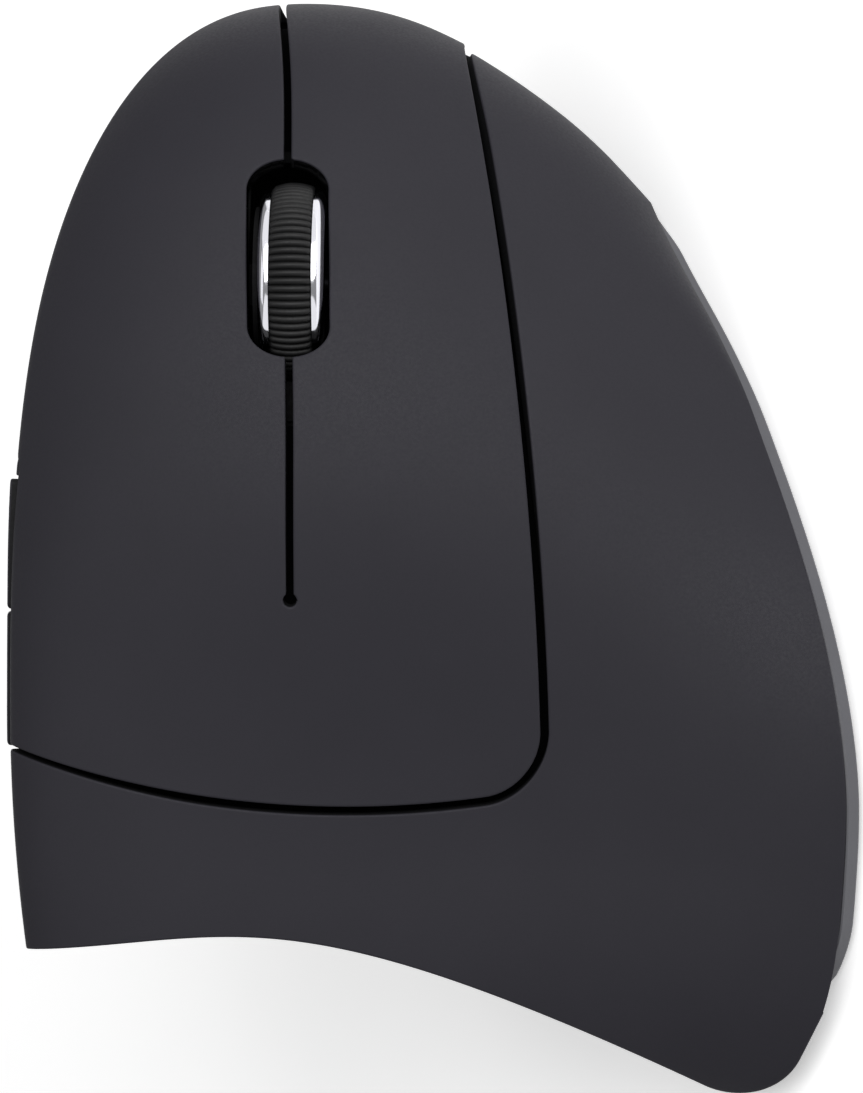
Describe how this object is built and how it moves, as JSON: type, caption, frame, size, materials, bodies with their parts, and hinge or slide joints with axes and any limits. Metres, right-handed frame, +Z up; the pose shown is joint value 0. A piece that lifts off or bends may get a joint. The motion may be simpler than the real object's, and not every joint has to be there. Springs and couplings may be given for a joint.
{
  "type": "vertical ergonomic mouse",
  "caption": "Right-handed vertical computer mouse with a slanted button panel, ribbed scroll wheel in bright rims, thumb keys over the ridge and a wide flared foot.",
  "frame": {"origin": "middle of the mouse's outline, on the surface that its glide feet rest on", "axes": "+Z up, +Y forward towards the nose, +X towards the right, the side that the button face looks to"},
  "size_m": [0.0764, 0.12, 0.0695],
  "materials": {
    "shell_plastic": "dark grey soft-touch moulded plastic",
    "thumb_rubber": "soft moulded rubber",
    "gloss_black": "gloss black moulded plastic",
    "tyre_rubber": "ribbed moulded rubber",
    "bright_rim": "bright plated ring",
    "steel": "plain steel",
    "acetal": "natural moulded plastic",
    "component_plastic": "moulded component body",
    "board": "coated glass-fibre board",
    "lens": "clear moulded lens",
    "battery_can": "wrapped steel can",
    "glide": "slick low-friction pad"
  },
  "bodies": {
    "chassis": {"main_shell": "shell_plastic", "button_panel": "shell_plastic", "thumb_rest": "thumb_rubber", "base": "shell_plastic", "foot_front": "glide", "foot_left": "glide", "foot_right": "glide", "wheel_bezel": "gloss_black", "wheel_encoder": "component_plastic", "inner_frame": "acetal", "button_board": "board", "left_switch": "component_plastic", "right_switch": "component_plastic", "middle_switch": "component_plastic", "thumb_board": "board", "forward_switch": "component_plastic", "back_switch": "component_plastic", "main_board": "board", "optical_sensor": "component_plastic", "sensor_lens": "lens", "controller_chip": "component_plastic", "battery": "battery_can", "contact_front": "steel", "contact_rear": "steel", "power_switch": "component_plastic", "screw_front": "steel", "screw_left": "steel", "screw_right": "steel"},
    "left_button": {"left_button": "shell_plastic"},
    "right_button": {"right_button": "shell_plastic"},
    "wheel_mount": {"wheel_yoke": "acetal"},
    "wheel": {"wheel_hub": "gloss_black", "wheel_tyre": "tyre_rubber", "wheel_rim_left": "bright_rim", "wheel_rim_right": "bright_rim", "wheel_axle": "steel"},
    "forward_key": {"forward_key": "shell_plastic"},
    "back_key": {"back_key": "shell_plastic"},
    "left_plunger": {"left_plunger": "acetal"},
    "right_plunger": {"right_plunger": "acetal"},
    "middle_plunger": {"middle_plunger": "acetal"},
    "forward_plunger": {"forward_plunger": "acetal"},
    "back_plunger": {"back_plunger": "acetal"},
    "power_knob": {"power_knob": "acetal"},
    "battery_door": {"battery_door": "shell_plastic"}
  },
  "joints": [
    {"name": "left_click", "type": "hinge", "parent": "chassis", "child": "left_button", "pos_m": [-0.01069, -0.006, 0.0598], "axis": [-0.5878, 0, 0.809], "range_deg": [0, 1.2], "stiffness_Nm_per_rad": 1},
    {"name": "right_click", "type": "hinge", "parent": "chassis", "child": "right_button", "pos_m": [0.00919, -0.006, 0.03839], "axis": [-0.5878, 0, 0.809], "range_deg": [0, 1.2], "stiffness_Nm_per_rad": 1},
    {"name": "wheel_press", "type": "slide", "parent": "chassis", "child": "wheel_mount", "axis": [-0.809, 0, -0.5878], "range_m": [0, 0.0005], "stiffness_N_per_m": 1500},
    {"name": "wheel_spin", "type": "hinge", "parent": "wheel_mount", "child": "wheel", "pos_m": [-0.00714, 0.02779, 0.04383], "axis": [0.5878, 0, -0.809], "continuous": true},
    {"name": "forward_press", "type": "slide", "parent": "chassis", "child": "forward_key", "axis": [0.5878, 0, -0.809], "range_m": [0, 0.0005], "stiffness_N_per_m": 1200},
    {"name": "back_press", "type": "slide", "parent": "chassis", "child": "back_key", "axis": [0.5878, 0, -0.809], "range_m": [0, 0.0005], "stiffness_N_per_m": 1200},
    {"name": "left_plunge", "type": "slide", "parent": "chassis", "child": "left_plunger", "axis": [-0.809, 0, -0.5878], "range_m": [0, 0.0006]},
    {"name": "right_plunge", "type": "slide", "parent": "chassis", "child": "right_plunger", "axis": [-0.809, 0, -0.5878], "range_m": [0, 0.0006]},
    {"name": "middle_plunge", "type": "slide", "parent": "chassis", "child": "middle_plunger", "axis": [-0.809, 0, -0.5878], "range_m": [0, 0.0005]},
    {"name": "forward_plunge", "type": "slide", "parent": "chassis", "child": "forward_plunger", "axis": [0.5878, 0, -0.809], "range_m": [0, 0.0005]},
    {"name": "back_plunge", "type": "slide", "parent": "chassis", "child": "back_plunger", "axis": [0.5878, 0, -0.809], "range_m": [0, 0.0005]},
    {"name": "power_slide", "type": "slide", "parent": "chassis", "child": "power_knob", "axis": [0, 1, 0], "range_m": [-0.0015, 0.0015]},
    {"name": "door_lift", "type": "slide", "parent": "chassis", "child": "battery_door", "axis": [0, 0, -1], "range_m": [0, 0.02]}
  ],
  "couplings": [
    {"joint": "left_plunge", "follows": "left_click", "m_per_rad": 0.027},
    {"joint": "right_plunge", "follows": "right_click", "m_per_rad": 0.027},
    {"joint": "middle_plunge", "follows": "wheel_press", "ratio": 1},
    {"joint": "forward_plunge", "follows": "forward_press", "ratio": 1},
    {"joint": "back_plunge", "follows": "back_press", "ratio": 1}
  ]
}
